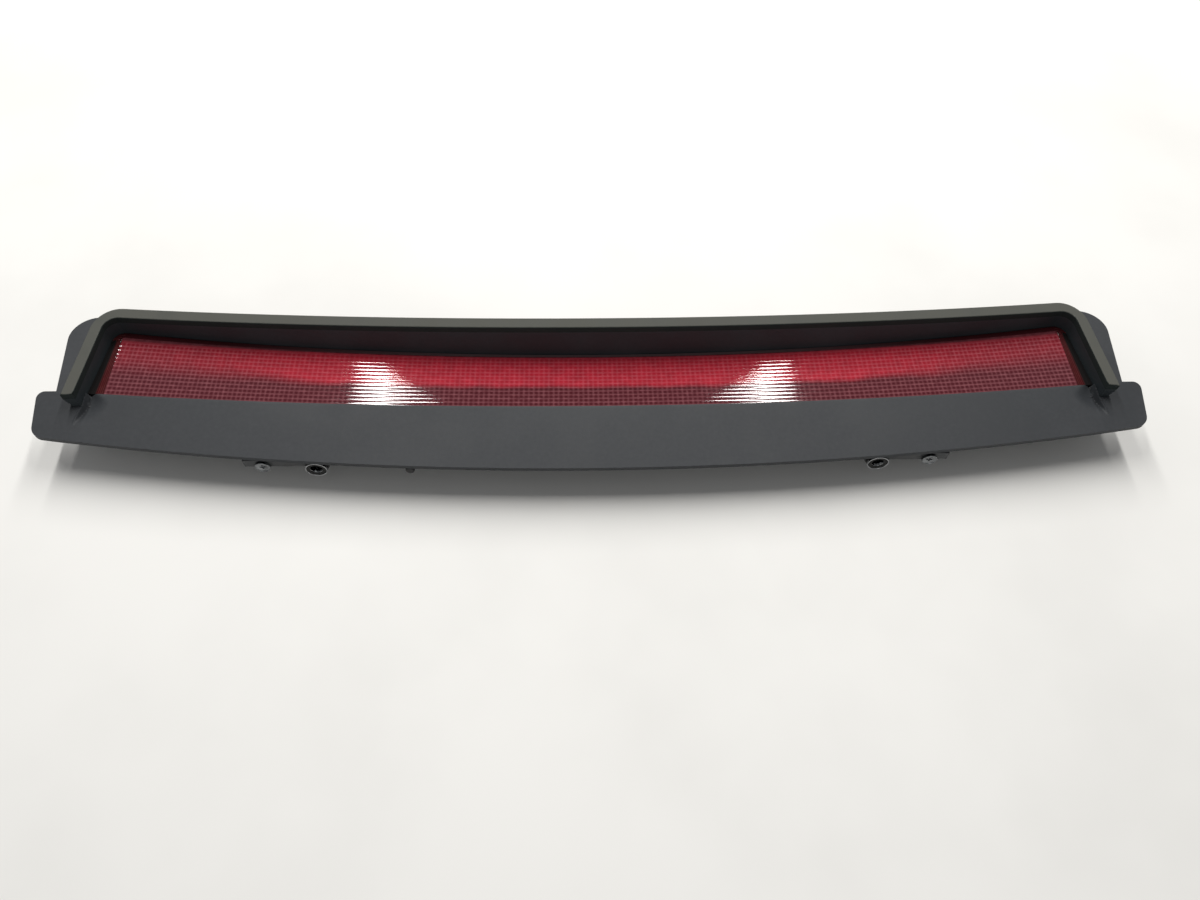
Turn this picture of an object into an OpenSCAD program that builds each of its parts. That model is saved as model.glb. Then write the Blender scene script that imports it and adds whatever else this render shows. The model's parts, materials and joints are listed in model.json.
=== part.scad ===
// Interior high-mount third brake light: a long bowed lamp with a recessed red lens,
// a U-shaped light shield that seals against the rear glass, and a sloping trim apron.
// X runs along the lamp, +Y points from the apron to the deep wall of the shield,
// +Z points out of the lens. The lamp lies on its back: Z = 0 is the plane of its feet.

/* [Lens] */
// Height of the lens face above the feet
lens_z = 28; // [27:0.5:32]
// Near edge of the lens window at mid length
window_near_y = -14.5; // [-16:0.5:-13]
// Bow radius of the window's near edge
window_near_r = 3180; // [2800:20:3600]
// Thickness of the lens wall
lens_t = 2.4; // [2:0.1:3]

/* [Light shield] */
// Inner face of the long wall at mid length
wall_y = 21; // [19:0.5:23]
// Bow radius of the long wall
wall_r = 1900; // [1700:20:2200]
// Half the clear width between the side walls
side_x = 269.4; // [262:0.2:272]
// Inward lean of the side walls towards the long wall, as a slope
side_slope = 0.09; // [0:0.01:0.12]
// Radius of the two inner corners
corner_r = 7; // [4:0.5:10]
// Near end of the two side walls
arm_end_y = -10.5; // [-12:0.5:-8]
// Height of the rim above the lens at the middle of the long wall
hood_h = 23; // [20:0.5:26]
// Width of the shield's double wall
shield_w = 5; // [4.6:0.1:5.2]
// Width of the rim that lies against the glass
rim_w = 6.6; // [5:0.2:8]
// Thickness of the foam seal on the rim
seal_t = 4; // [3:0.5:5]
// Curvature radius of the rear glass across the car
glass_r = 3200; // [2800:50:4000]
// Tilt of the glass in the lamp's frame, in degrees
glass_tilt = 2; // [0:0.5:4]

/* [Cover] */
// Front edge of the apron at mid length
apron_y = -49.6; // [-52:0.2:-47]
// Bow radius of the apron's front edge
apron_r = 1950; // [1750:10:2200]
// Slope of the apron, in degrees
apron_slope = 9.5; // [8:0.5:11]
// Wall thickness of the cover
cover_t = 2.2; // [1.8:0.1:2.6]
// Depth of the cover's edge lip
lip_h = 2.6; // [2.3:0.1:4]
// Half width over the two ears
ear_x = 296.4; // [294:0.1:300]
// Width of a cheek, from the shield's inner face
cheek_w = 19.2; // [18:0.1:21]
// Outward lean of the cheeks towards the long wall, as a slope
cheek_flare = 0.12; // [0:0.01:0.15]
// Width of the flange behind the long wall, from the wall's inner face
flange_w = 8.5; // [8.5:0.1:11]

/* [Bulbs] */
// Spacing of the bulbs along the lamp
bulb_pitch = 66; // [60:1:70]
// Bore in the housing floor for a bulb holder
holder_bore_d = 10.8; // [10:0.1:12]
// Radial running clearance of a bulb holder
holder_gap = 0.1; // [0.05:0.01:0.1]
// Turn from locked to released, in degrees
holder_turn = 40; // [30:5:45]

/* [Mounting] */
// Distance of the mounting bushes from the middle
bush_x = 147.5; // [140:0.5:152]
// Height of the bush axis above the feet
bush_z = 15.3; // [14.8:0.1:15.4]
// Bore of the steel sleeves, for an M6 screw
sleeve_bore_d = 6.4; // [6.2:0.1:6.6]

/* [Hidden] */

big_fn = 1440;       // facets of the long bow arcs, fine enough to stay within 0.01 mm
hole_fn = 48;        // facets of holes, pins and bosses
bow_step = 20;       // chord length on the long bows
bow_end = 240;       // the chords stop here, ahead of the corners
reach = 80;          // length that safely clears the lamp's depth
clear = 0.2;         // gap between parts that are clipped together

wall_cy = wall_y + wall_r;                     // centre of the long wall's bow
window_cy = window_near_y + window_near_r;     // centre of the window's near bow
crease_r = window_near_r + 0.6;                // the apron starts to slope just outside the window
apron_cy = apron_y + apron_r;                  // centre of the apron's front bow
rim_z = lens_z + hood_h;                       // top of the rim at mid length
cover_z = lens_z + 1;                          // flat top of the cover

flange_top = lens_z - 2.6;                     // top of the lens flange
flange_t = 1.8;                                // thickness of the lens flange
flange_out = 5;                                // width of the lens flange
floor_bottom = 9;                              // underside of the housing floor
floor_top = 11;                                // inside of the housing floor
foot_t = 1.2;                                  // thickness of the shield's foot
ear_top = -1.5;                                // far edge of the ears
arm_side = [side_x, side_slope];
cheek_side = [side_x + cheek_w, -cheek_flare];
ear_side = [ear_x + 1.8, -0.09];

bulb_count = 5;
bulb_line_y = 1.5;                             // bulb row at mid length
bulb_line_r = 2700;                            // bow radius of the bulb row
bus_offset = 8;                                // busbars lie this far each side of the bulb row
bus_w = 3;
bus_t = 1;

plate_y = -40.5;                               // front face of the brackets
plate_t = 3;
bracket_screw_x = 175.5;
cover_screw_xy = [[60, -33], [205, -21.5], [281.5, 22]];
side_tab_z = 19;                               // underside of the tabs for the cheek screws
reflector_screw_x = 215;

// ---------- plan outlines ----------

// A side line is [its x at y = 14, its lean]. This gives its x at y, moved outward by g.
function side_at(y, g, side = arm_side) = side[0] + g * sqrt(1 + side[1] * side[1]) - side[1] * (y - 14);

// Where a side line, moved outward by g, meets the near part of a circle of radius r about [0, cy]
function meet(side, g, cy, r) =
    let (m = side_at(0, g, side), k = side[1],
        a = 1 + k * k, b = -2 * (m * k + cy), c = m * m + cy * cy - r * r,
        y = (-b - sqrt(b * b - 4 * a * c)) / (2 * a))
    [m - k * y, y];

// Points of an arc about c from direction a0 to a1
function arc(c, r, a0, a1, n) =
    [for (i = [0 : n]) let (a = a0 + (a1 - a0) * i / n) c + r * [cos(a), sin(a)]];

// Right half of the outline behind the lamp: round corner, then the long wall to the middle.
// The bow is drawn in chords that stay within 0.03 mm of it.
function far_half(g_side, g_far, r, side = arm_side) =
    let (big = wall_r - g_far, c = meet(side, g_side - r, wall_cy, big + r))
    concat(arc(c, r, atan(side[1]), atan2(wall_cy - c[1], -c[0]), 8),
        [for (x = [bow_end : -bow_step : 0]) [x, wall_cy - sqrt(big * big - x * x)]]);

// A half outline followed by its mirror image, without repeating the points on the middle line
function whole(half) = concat(half,
    [for (i = [len(half) - 1 : -1 : 0]) if (half[i][0] > 0) [-half[i][0], half[i][1]]]);

// Area between the side faces and in front of the long wall, with round far corners
module hood_area(g_side, g_far, r, near = -reach) {
    polygon(whole(concat([[side_at(near, g_side), near]], far_half(g_side, g_far, r))));
}

// The lens window grown outward by g
module window_area(g) {
    near_r = window_near_r + g;
    polygon(whole(concat([for (x = [0 : bow_step : bow_end]) [x, window_cy - sqrt(near_r * near_r - x * x)]],
        [meet(arm_side, g, window_cy, near_r)], far_half(g, g, corner_r + g))));
}

// Footprint of the shield from g_in to g outside its inner face
module shield_area(g, near = arm_end_y, g_in = 0) {
    outer = whole(concat([[side_at(near, g), near]], far_half(g, g, corner_r + g)));
    inner = whole(concat([[side_at(near, g_in), near]], far_half(g_in, g_in, corner_r + g_in)));
    polygon(concat(outer, [for (i = [len(inner) - 1 : -1 : 0]) inner[i]]));
}

// Outline of the cover, drawn in by a margin: apron, ear, cheek, then the flange at the far side
module cover_area(inset) {
    front_r = apron_r - inset;
    front_end = 280;
    low_r = 7;
    top_r = 4;
    cheek_r = 14 - inset;
    low = meet(ear_side, -inset - low_r, apron_cy, front_r - low_r);
    top = [ear_x - inset - top_r, ear_top - inset - top_r];
    polygon(whole(concat(
        [for (x = [0 : bow_step : front_end]) [x, apron_cy - sqrt(front_r * front_r - x * x)]],
        arc(low, low_r, atan2(low[1] - apron_cy, low[0]), atan(ear_side[1]), 8),
        arc(top, top_r, atan(ear_side[1]), 90, 6),
        [[side_at(ear_top - inset, -inset, cheek_side), ear_top - inset]],
        far_half(-inset, flange_w - inset, cheek_r, cheek_side))));
}

// ---------- surfaces ----------

// Everything below the rear glass, lowered by drop. The arc across the car is drawn in
// short chords that stay within 0.02 mm of it.
module under_glass(drop) {
    half = 300;
    chord = 20;
    r = glass_r - drop;
    translate([0, wall_y, rim_z]) rotate([glass_tilt, 0, 0]) rotate([90, 0, 0])
        translate([0, 0, -reach]) linear_extrude(2 * reach)
            polygon([[half, -60], for (x = [half : -chord : -half]) [x, sqrt(r * r - x * x) - glass_r],
                [-half, -60]]);
}

// Layer of thickness t under the cover's face: flat inside the window's bow, then sloping
module cover_layer(t) {
    out = 60;
    fall = out * tan(apron_slope);
    translate([0, window_cy, 0]) rotate([0, 0, 264]) rotate_extrude(angle = 12, $fn = big_fn)
        polygon([[crease_r - reach, cover_z - t], [crease_r - reach, cover_z],
            [crease_r, cover_z], [crease_r + out, cover_z - fall],
            [crease_r + out, cover_z - fall - t], [crease_r, cover_z - t]]);
}

module plan_slab(z0, z1) {
    translate([0, 0, z0]) linear_extrude(z1 - z0) children();
}

function bulb_x(i) = (i - (bulb_count + 1) / 2) * bulb_pitch;
function bulb_y(i) = bulb_line_y + bulb_line_r - sqrt(bulb_line_r * bulb_line_r - bulb_x(i) * bulb_x(i));

module at_bulb(i) {
    translate([bulb_x(i), bulb_y(i), 0]) children();
}

module both_sides() {
    for (s = [0, 1]) mirror([s, 0, 0]) children();
}

// A cover screw's head seats under the shelf, or under a side tab near the ends
function seat_z(p) = abs(p[0]) > 250 ? side_tab_z : floor_bottom;

// Height of the cover's face at a plan position
function cover_top(p) = cover_z
    - max(0, norm([p[0], p[1] - window_cy]) - crease_r) * tan(apron_slope);

// ---------- trim ----------

module cover() {
    post_r = 3.5;
    pilot_r = 1.3;
    slot = shield_w + clear;
    color("#45494e") difference() {
        union() {
            intersection() {
                plan_slab(0, cover_z + 5) cover_area(0);
                cover_layer(cover_t);
            }
            intersection() {
                plan_slab(0, cover_z + 5) difference() { cover_area(0); cover_area(2); }
                cover_layer(lip_h);
            }
            both_sides() for (p = cover_screw_xy)
                translate([p[0], p[1], seat_z(p) + 2])
                    cylinder(r = post_r, h = cover_top(p) - seat_z(p) - 3, $fn = hole_fn);
        }
        plan_slab(lens_z - 3, cover_z + 9) window_area(0);
        plan_slab(lens_z - 3, cover_z + 9) hood_area(slot, slot, corner_r + slot, wall_y - 12);
        plan_slab(lens_z - 3, cover_z + 9) difference() {
            hood_area(slot, slot, corner_r + slot, arm_end_y - clear);
            hood_area(-clear, 0, corner_r, arm_end_y - 1);
        }
        both_sides() for (p = cover_screw_xy)
            translate([p[0], p[1], 0]) cylinder(r = pilot_r, h = cover_top(p) - 2.6, $fn = hole_fn);
    }
}

// Double wall, hollow from below, with a ledge for the seal and a foot that hooks under the cover
module light_shield() {
    ledge_h = 2;
    skin = 1.8;
    foot_out = 6.3;
    foot_end_y = -2.5;
    color("#2c2e2d") difference() {
        union() {
            intersection() {
                plan_slab(flange_top, rim_z + 5) shield_area(shield_w);
                under_glass(seal_t);
            }
            difference() {
                intersection() {
                    plan_slab(flange_top, rim_z + 5) shield_area(rim_w);
                    under_glass(seal_t);
                }
                under_glass(seal_t + ledge_h);
            }
            plan_slab(flange_top, flange_top + foot_t) shield_area(foot_out, foot_end_y);
        }
        intersection() {
            plan_slab(0, rim_z) shield_area(shield_w - skin, arm_end_y + skin, skin);
            under_glass(seal_t + ledge_h);
        }
    }
}

module glass_seal() {
    color("#5c5c56") difference() {
        intersection() {
            plan_slab(flange_top, rim_z + 5) shield_area(rim_w);
            under_glass(0);
        }
        under_glass(seal_t);
    }
}

// ---------- optics ----------

module lens() {
    color("#a3202a", 0.9) difference() {
        union() {
            plan_slab(flange_top - flange_t, lens_z) window_area(-0.4);
            plan_slab(flange_top - flange_t, flange_top) window_area(flange_out);
        }
        plan_slab(0, lens_z - lens_t) window_area(-0.4 - lens_t);
    }
}

module reflector() {
    bowl_r = 60;
    shell_t = 1.5;
    bowl_z = 12.6;
    skirt_top = flange_top - flange_t - 0.2;
    inner = 0.5;
    lit = bulb_count * bulb_pitch;
    end_z = 17;
    color("#c9ccd0") difference() {
        union() {
            // bowls, one to each bulb
            for (i = [1 : bulb_count]) intersection() {
                plan_slab(floor_top, skirt_top) window_area(-inner);
                at_bulb(i) translate([-bulb_pitch / 2, -reach / 2, 0]) cube([bulb_pitch, reach, lens_z]);
                difference() {
                    at_bulb(i) translate([0, 0, bowl_z + bowl_r - shell_t]) sphere(r = bowl_r, $fn = 180);
                    at_bulb(i) translate([0, 0, bowl_z + bowl_r]) sphere(r = bowl_r, $fn = 180);
                }
            }
            // flat unlit ends
            both_sides() intersection() {
                plan_slab(end_z, end_z + shell_t) window_area(-inner);
                translate([lit / 2 - 1, -reach / 2, 0]) cube([120, reach, lens_z]);
            }
            // dividing walls between the lit and unlit parts
            both_sides() intersection() {
                plan_slab(end_z, skirt_top) window_area(-inner);
                translate([lit / 2 - 1, -reach / 2, 0]) cube([shell_t, reach, lens_z]);
            }
            // skirt round the whole reflector
            plan_slab(13, skirt_top) difference() {
                window_area(-inner);
                window_area(-inner - shell_t);
            }
        }
        for (i = [1 : bulb_count]) at_bulb(i) cylinder(r = 8.6, h = lens_z, $fn = hole_fn);
        both_sides() translate([reflector_screw_x, 8, 0]) cylinder(r = 1.8, h = lens_z, $fn = hole_fn);
    }
}

// ---------- housing ----------

module holder_bore() {
    lug_slot_r = 7.8;
    lug_slot_w = 3.8;
    cylinder(d = holder_bore_d, h = lens_z, $fn = hole_fn);
    rotate([0, 0, holder_turn]) translate([-lug_slot_r, -lug_slot_w / 2, 0])
        cube([2 * lug_slot_r, lug_slot_w, lens_z]);
}

// Shelf in front of the tray that carries the cover posts and the mounting brackets
module shelf() {
    shelf_y = -38;
    plan_slab(floor_bottom, floor_top) difference() {
        intersection() {
            translate([0, shelf_y + apron_r]) circle(r = apron_r, $fn = big_fn);
            translate([-245, shelf_y - 1]) square([490, 40]);
        }
        window_area(3);
    }
}

module housing() {
    wall_out = 6.3;
    foot_r = 5;
    foot_xy = [[228, 34], [228, -8], [90, 26]];
    rib_t = 1.8;
    color("#34373a") difference() {
        union() {
            plan_slab(floor_bottom, flange_top) window_area(wall_out);
            shelf();
            // skirt that stiffens the back
            plan_slab(4, floor_bottom + 0.5) difference() {
                window_area(wall_out);
                window_area(wall_out - 2);
            }
            // feet
            both_sides() for (p = foot_xy)
                translate([p[0], p[1], 0]) cylinder(r = foot_r, h = floor_bottom + 1, $fn = hole_fn);
            both_sides() translate([60, -33, 5]) cylinder(r = foot_r, h = 5, $fn = hole_fn);
            both_sides() translate([205, -21.5, 5]) cylinder(r = foot_r, h = 5, $fn = hole_fn);
            // cross ribs between the bulb holders
            for (i = [0 : bulb_count]) intersection() {
                translate([bulb_x(i) + bulb_pitch / 2 - rib_t / 2, -reach / 2, 5])
                    cube([rib_t, reach, floor_bottom - 4.5]);
                plan_slab(0, lens_z) window_area(wall_out - 1);
            }
            // side tabs for the cheek screws
            both_sides() translate([274, 16, side_tab_z]) cube([13, 12, 2]);
            both_sides() translate([272, 16, side_tab_z - 7]) cube([6, 12, 9]);
            // upright posts that the brackets screw to
            both_sides() translate([bracket_screw_x - 6, plate_y + plate_t, floor_top - 1])
                cube([12, 10, 9.4]);
            // bosses for the reflector screws
            both_sides() translate([reflector_screw_x, 8, floor_top - 1])
                cylinder(r = 3.4, h = 7, $fn = hole_fn);
        }
        // tray
        difference() {
            plan_slab(floor_top, lens_z) window_area(2.2);
            both_sides() translate([reflector_screw_x, 8, floor_top - 1])
                cylinder(r = 3.4, h = 7, $fn = hole_fn);
        }
        plan_slab(flange_top - flange_t, lens_z) window_area(flange_out + clear);
        for (i = [1 : bulb_count]) at_bulb(i) holder_bore();
        // room for the busbars under the cross ribs
        for (i = [0 : bulb_count]) translate([bulb_x(i) + bulb_pitch / 2 - 3, -10.5, 0])
            cube([6, 29, floor_bottom]);
        both_sides() for (p = cover_screw_xy) translate([p[0], p[1], 0]) {
            cylinder(r = 2.1, h = 22, $fn = hole_fn);
            translate([0, 0, seat_z(p) - 5]) cylinder(r = 3.9, h = 5, $fn = hole_fn);
        }
        both_sides() translate([bracket_screw_x, plate_y + plate_t - 1, bush_z]) rotate([-90, 0, 0])
            cylinder(r = 1.6, h = 10, $fn = hole_fn);
        both_sides() translate([reflector_screw_x, 8, floor_top + 0.5])
            cylinder(r = 1.25, h = 8, $fn = hole_fn);
    }
}

// ---------- bulbs and their holders ----------

flange_z = 7.2;          // top of a holder's flange
arm_top = 7.7;           // top of the spring contacts
neck_top = 14;
wedge_w = 4.6;           // wedge base of the bulb
wedge_t = 2;
wedge_bottom = 4;
pocket_gap = 0.2;
arm_w = 2.4;
arm_reach = 8.8;

// Quarter-turn holder, drawn locked
module bulb_holder(i) {
    flange_bottom = 5.6;
    grip_bottom = 1.2;
    lug_r = 7.3;
    lug_w = 3;
    color("#1d1e1f") at_bulb(i) difference() {
        union() {
            translate([0, 0, flange_bottom]) cylinder(r = 9, h = flange_z - flange_bottom, $fn = hole_fn);
            translate([0, 0, flange_z - 0.5])
                cylinder(r = holder_bore_d / 2 - holder_gap, h = neck_top - flange_z + 0.5, $fn = hole_fn);
            // bayonet lugs above the housing floor
            translate([0, 0, floor_top + 0.3]) intersection() {
                translate([-lug_r, -lug_w / 2, 0]) cube([2 * lug_r, lug_w, 1.6]);
                cylinder(r = lug_r, h = 2, $fn = hole_fn);
            }
            // finger grip
            translate([-7, -1.6, grip_bottom]) cube([14, 3.2, flange_bottom - grip_bottom + 0.5]);
            for (s = [-1, 1]) translate([s * 7, 0, grip_bottom])
                cylinder(r = 1.6, h = flange_bottom - grip_bottom + 0.5, $fn = hole_fn);
        }
        // pocket for the wedge base, round above for the glass
        translate([-wedge_w / 2 - pocket_gap, -wedge_t / 2 - pocket_gap, wedge_bottom])
            cube([wedge_w + 2 * pocket_gap, wedge_t + 2 * pocket_gap, neck_top]);
        translate([0, 0, 8.2]) cylinder(r = 2.8, h = neck_top, $fn = hole_fn);
        contact_space(0.05);
    }
}

// The two spring contacts of one holder, or the room for them
module contact_space(g) {
    blade_bottom = 4.6;
    for (s = [0, 1]) mirror([0, s, 0]) {
        translate([-arm_w / 2 - g, wedge_t / 2, blade_bottom - g])
            cube([arm_w + 2 * g, 0.5 + pocket_gap + g, arm_top - blade_bottom + 2 * g]);
        translate([-arm_w / 2 - g, wedge_t / 2, flange_z - g])
            cube([arm_w + 2 * g, arm_reach - wedge_t / 2 + g, arm_top - flange_z + 2 * g]);
    }
}

module bulb_contacts(i) {
    color("#c8a24a") at_bulb(i) contact_space(0);
}

// Capless wedge bulb: flat pinched base and a round glass tube
module bulb(i) {
    glass_r = 2.5;
    tip = 20;
    color("#dfe4e6", 0.6) at_bulb(i) {
        translate([-wedge_w / 2, -wedge_t / 2, wedge_bottom]) cube([wedge_w, wedge_t, 5]);
        translate([0, 0, 8.5]) cylinder(r1 = 1.2, r2 = glass_r, h = 2.5, $fn = hole_fn);
        translate([0, 0, 11]) cylinder(r = glass_r, h = tip - glass_r - 11, $fn = hole_fn);
        translate([0, 0, tip - glass_r]) sphere(r = glass_r, $fn = hole_fn);
    }
}

// ---------- wiring ----------

socket_x = 172;          // inner end of the connector socket
socket_l = 22;
socket_w = 16;
socket_h = 8.4;
socket_y = 3;            // middle of the socket across the lamp
pin_gap = 5;             // spacing of the two pins

// Strip that follows the bulb row at a distance, side = 1 or -1, with a tail to one pin
module busbar(side) {
    cy = bulb_line_y + bulb_line_r;
    mid = bulb_line_r - side * bus_offset;
    pin_y = socket_y + side * pin_gap / 2;
    tail_x = 158;
    plan_slab(floor_bottom - bus_t, floor_bottom) union() {
        intersection() {
            translate([0, cy]) difference() {
                circle(r = mid + bus_w / 2, $fn = big_fn);
                circle(r = mid - bus_w / 2, $fn = big_fn);
            }
            translate([-138, -reach]) square([138 + tail_x, 2 * reach]);
        }
        translate([tail_x - bus_w, min(pin_y, cy - mid + 4.6) - bus_w / 2])
            square([bus_w, abs(cy - mid + 4.6 - pin_y) + bus_w]);
        translate([tail_x - bus_w, pin_y - 1.4]) square([socket_x - tail_x + bus_w, 2.8]);
    }
}

module busbar_live() { color("#b8b4a4") busbar(1); }

module busbar_earth() { color("#b8b4a4") busbar(-1); }

// Two-way socket on the back of the housing; the plug goes in along -X
module connector_socket() {
    wall = 1.3;
    color("#202122") difference() {
        translate([socket_x, socket_y - socket_w / 2, floor_bottom - socket_h])
            cube([socket_l, socket_w, socket_h]);
        translate([socket_x + 3, socket_y - socket_w / 2 + wall, floor_bottom - socket_h + wall])
            cube([socket_l, socket_w - 2 * wall, socket_h - 2 * wall]);
        // slots for the pins and their risers
        for (s = [-1, 1]) translate([socket_x - 1, socket_y + s * pin_gap / 2 - 1.4, 4])
            cube([5, 2.8, 0.8]);
        // keying slot in the lower wall
        translate([socket_x + 12, socket_y - 2, floor_bottom - socket_h - 1]) cube([socket_l, 4, 3]);
    }
}

module connector_pins() {
    pin_l = 13;
    color("#c8a24a") for (s = [-1, 1]) translate([0, socket_y + s * pin_gap / 2 - 1.4, 0]) {
        translate([socket_x - 3, 0, 4]) cube([pin_l + 3, 2.8, 0.8]);
        translate([socket_x - 3, 0, 4]) cube([0.8, 2.8, 4]);
    }
}

// ---------- mounting ----------

// Bracket that carries a mounting bush in front of the housing
module bracket() {
    plate_top = 19.4;
    plate_low = bush_z - 1.6;
    color("#5b5e60") difference() {
        union() {
            translate([bush_x, plate_y + plate_t, bush_z]) rotate([90, 0, 0])
                cylinder(r = 6.4, h = plate_t, $fn = hole_fn);
            translate([bush_x, plate_y, plate_low]) cube([38, plate_t, plate_top - plate_low]);
            translate([bracket_screw_x, plate_y + plate_t, bush_z]) rotate([90, 0, 0])
                cylinder(r = 3.6, h = plate_t, $fn = hole_fn);
        }
        translate([bush_x, plate_y + plate_t + 1, bush_z]) rotate([90, 0, 0])
            cylinder(r = 4.8, h = plate_t + 2, $fn = hole_fn);
        translate([bracket_screw_x, plate_y + plate_t + 1, bush_z]) rotate([90, 0, 0])
            cylinder(r = 2.1, h = plate_t + 2, $fn = hole_fn);
    }
}

module bracket_right() { bracket(); }

module bracket_left() { mirror([1, 0, 0]) bracket(); }

module mount_grommets() {
    lip = 2;
    lip_r = 5.8;
    color("#19191a") both_sides() translate([bush_x, plate_y + plate_t, bush_z]) rotate([90, 0, 0])
        difference() {
            union() {
                translate([0, 0, -lip]) cylinder(r = lip_r, h = lip, $fn = hole_fn);
                translate([0, 0, -0.5]) cylinder(r = 4.8, h = plate_t + 1, $fn = hole_fn);
                translate([0, 0, plate_t]) cylinder(r = lip_r, h = lip, $fn = hole_fn);
            }
            translate([0, 0, -lip - 1]) cylinder(r = 4, h = plate_t + 2 * lip + 2, $fn = hole_fn);
        }
}

// Steel sleeve with a flange whose edge is turned up
module mount_sleeves() {
    sleeve_l = 8;
    flange_back = 7.2;
    flange_r = 5.6;
    edge_w = 0.5;
    edge_h = 0.7;
    color("#c4c7ca") both_sides() translate([bush_x, plate_y + 5.2, bush_z]) rotate([90, 0, 0])
        difference() {
            union() {
                cylinder(r = 4, h = sleeve_l, $fn = hole_fn);
                translate([0, 0, flange_back])
                    cylinder(r = flange_r, h = sleeve_l + edge_h - flange_back, $fn = hole_fn);
            }
            translate([0, 0, -1]) cylinder(d = sleeve_bore_d, h = sleeve_l + 2, $fn = hole_fn);
            translate([0, 0, sleeve_l]) cylinder(r = flange_r - edge_w, h = edge_h + 1, $fn = hole_fn);
        }
}

// ---------- fasteners ----------

// Screw along +Z with its head's seat at Z = 0; the head is dished and has a cross recess
module screw(head_r, shank_r, length) {
    head_h = 1.8;
    dish_r = head_r - 0.6;
    difference() {
        union() {
            translate([0, 0, -head_h]) cylinder(r = head_r, h = head_h, $fn = hole_fn);
            cylinder(r = shank_r, h = length, $fn = hole_fn);
        }
        translate([0, 0, -head_h - 1]) cylinder(r = dish_r, h = 1.4, $fn = hole_fn);
        for (a = [0, 90]) rotate([0, 0, a]) translate([-1.6, -0.4, -head_h - 1]) cube([3.2, 0.8, 2.2]);
    }
}

module cover_screws() {
    color("#8d9093") both_sides() for (p = cover_screw_xy)
        translate([p[0], p[1], seat_z(p)]) screw(3.4, 1.3, cover_top(p) - 2.8 - seat_z(p));
}

module bracket_screws() {
    color("#b9bcbf") both_sides() translate([bracket_screw_x, plate_y, bush_z]) rotate([-90, 0, 0])
        screw(4, 1.6, 11.5);
}

module reflector_screws() {
    color("#8d9093") both_sides() translate([reflector_screw_x, 8, 18.5]) rotate([180, 0, 0])
        screw(3, 1.25, 6.5);
}

// Black push-in clip that holds the car's lead against the front of the housing
module wire_clip() {
    clip_x = -99;
    clip_y = -36;
    clip_z = 15.4;
    color("#161617") translate([clip_x, clip_y, clip_z]) {
        rotate([90, 0, 0]) cylinder(r1 = 4.2, r2 = 2.6, h = 6, $fn = hole_fn);
        rotate([-90, 0, 0]) translate([0, 0, -0.5]) cylinder(r = 4.2, h = 1.5, $fn = hole_fn);
        translate([-2.5, -0.5, floor_top - clip_z]) cube([5, 6, clip_z - floor_top]);
    }
}

cover();
light_shield();
glass_seal();
lens();
reflector();
housing();
bulb_holder(1);  // bulb_holder_1
bulb_holder(2);  // bulb_holder_2
bulb_holder(3);  // bulb_holder_3
bulb_holder(4);  // bulb_holder_4
bulb_holder(5);  // bulb_holder_5
bulb(1);  // bulb_1
bulb(2);  // bulb_2
bulb(3);  // bulb_3
bulb(4);  // bulb_4
bulb(5);  // bulb_5
bulb_contacts(1);  // bulb_contacts_1
bulb_contacts(2);  // bulb_contacts_2
bulb_contacts(3);  // bulb_contacts_3
bulb_contacts(4);  // bulb_contacts_4
bulb_contacts(5);  // bulb_contacts_5
busbar_live();
busbar_earth();
connector_socket();
connector_pins();
bracket_left();
bracket_right();
bracket_screws();
mount_grommets();
mount_sleeves();
cover_screws();
reflector_screws();
wire_clip();
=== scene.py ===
"""Looks of an interior third brake light: recessed red lens, light shield, foam seal, trim apron.

Lengths below are in millimetres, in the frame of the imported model, and become metres in the meshes.
"""

import json
from math import atan, atan2, cos, exp, hypot, pi, radians, sin, sqrt, tan

import bmesh
import bpy
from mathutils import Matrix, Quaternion, Vector


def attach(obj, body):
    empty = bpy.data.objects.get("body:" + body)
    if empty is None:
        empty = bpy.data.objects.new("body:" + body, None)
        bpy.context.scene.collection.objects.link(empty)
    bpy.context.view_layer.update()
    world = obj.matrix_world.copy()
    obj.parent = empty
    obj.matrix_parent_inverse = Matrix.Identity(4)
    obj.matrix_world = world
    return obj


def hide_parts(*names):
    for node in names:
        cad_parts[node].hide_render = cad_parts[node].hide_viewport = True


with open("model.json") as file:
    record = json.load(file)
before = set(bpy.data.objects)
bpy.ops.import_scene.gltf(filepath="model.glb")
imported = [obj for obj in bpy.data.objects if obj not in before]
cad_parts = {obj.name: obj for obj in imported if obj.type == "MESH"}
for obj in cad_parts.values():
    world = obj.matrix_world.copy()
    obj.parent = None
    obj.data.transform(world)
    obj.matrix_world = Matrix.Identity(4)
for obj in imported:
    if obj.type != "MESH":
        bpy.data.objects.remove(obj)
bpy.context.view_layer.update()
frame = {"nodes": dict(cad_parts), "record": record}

MM = 0.001
BODY = "lamp"

# ---------- sizes, as in the part's source ----------
LENS_Z = 28.0
WINDOW_Y, WINDOW_R = -14.5, 3180.0
WALL_Y, WALL_R = 21.0, 1900.0
SIDE_X, SIDE_LEAN = 269.4, 0.09
CORNER_R = 7.0
ARM_END = -10.5
RIM_Z = LENS_Z + 23.0
SHIELD_W, RIM_W, SEAL_T = 5.0, 6.6, 4.0
GLASS_R, GLASS_TILT = 3200.0, radians(2)
APRON_Y, APRON_R, APRON_SLOPE = -49.6, 1950.0, radians(9.5)
COVER_Z, COVER_T, LIP_H = LENS_Z + 1, 2.2, 2.6
EAR_X, EAR_TOP = 296.4, -1.5
CHEEK_W, CHEEK_FLARE, CHEEK_R = 19.2, 0.12, 14.0
FLANGE_W = 8.5
FLANGE_TOP = 25.4
BULB_PITCH, BULBS = 66.0, 5

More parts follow.
